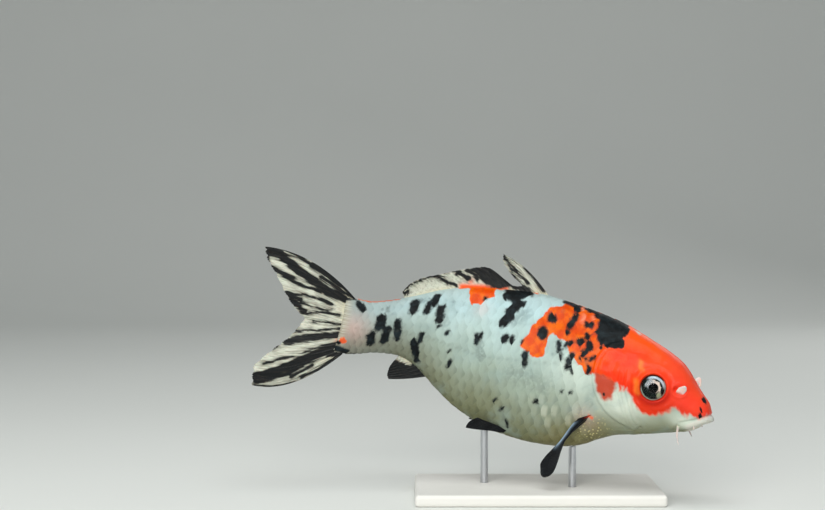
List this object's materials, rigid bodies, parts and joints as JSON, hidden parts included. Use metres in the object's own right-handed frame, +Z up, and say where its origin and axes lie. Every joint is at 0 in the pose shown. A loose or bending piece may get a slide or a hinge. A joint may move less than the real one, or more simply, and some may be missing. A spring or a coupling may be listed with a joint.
{
  "type": "koi carp on a display stand",
  "caption": "Young koi carp at life size, swimming head-down in a gentle bend, held over a flat base by upright rods.",
  "frame": {"origin": "middle of the underside of the stand's base", "axes": "+Z up out of the base, +X along the base the way the fish heads, -Y to the fish's right side, which faces the viewer"},
  "size_m": [0.1546, 0.0533, 0.0862],
  "materials": {
    "skin": "wet scaled skin, white with orange and black patches",
    "eye": "wet and clear over a dark iris",
    "striped_fin": "thin cream web striped black along its rays",
    "black_fin": "thin black web with a pale edge",
    "stand_base": "satin off-white",
    "stand_rod": "fine brushed"
  },
  "bodies": {
    "root": {"head": "skin", "lower_jaw": "skin", "gill_cover_left": "skin", "gill_cover_right": "skin", "trunk_front": "skin", "trunk_rear": "skin", "tail_stem": "skin", "nostril_flap_left": "skin", "nostril_flap_right": "skin", "barbel_long_left": "skin", "barbel_long_right": "skin", "barbel_short_left": "skin", "barbel_short_right": "skin", "eye_left": "eye", "eye_right": "eye", "dorsal_fin": "striped_fin", "tail_lobe_upper": "striped_fin", "tail_lobe_lower": "striped_fin", "pectoral_fin_left": "striped_fin", "pectoral_fin_right": "black_fin", "pelvic_fin_left": "black_fin", "pelvic_fin_right": "black_fin", "anal_fin": "black_fin", "stand_base": "stand_base", "stand_rod_front": "stand_rod", "stand_rod_rear": "stand_rod"}
  },
  "joints": []
}
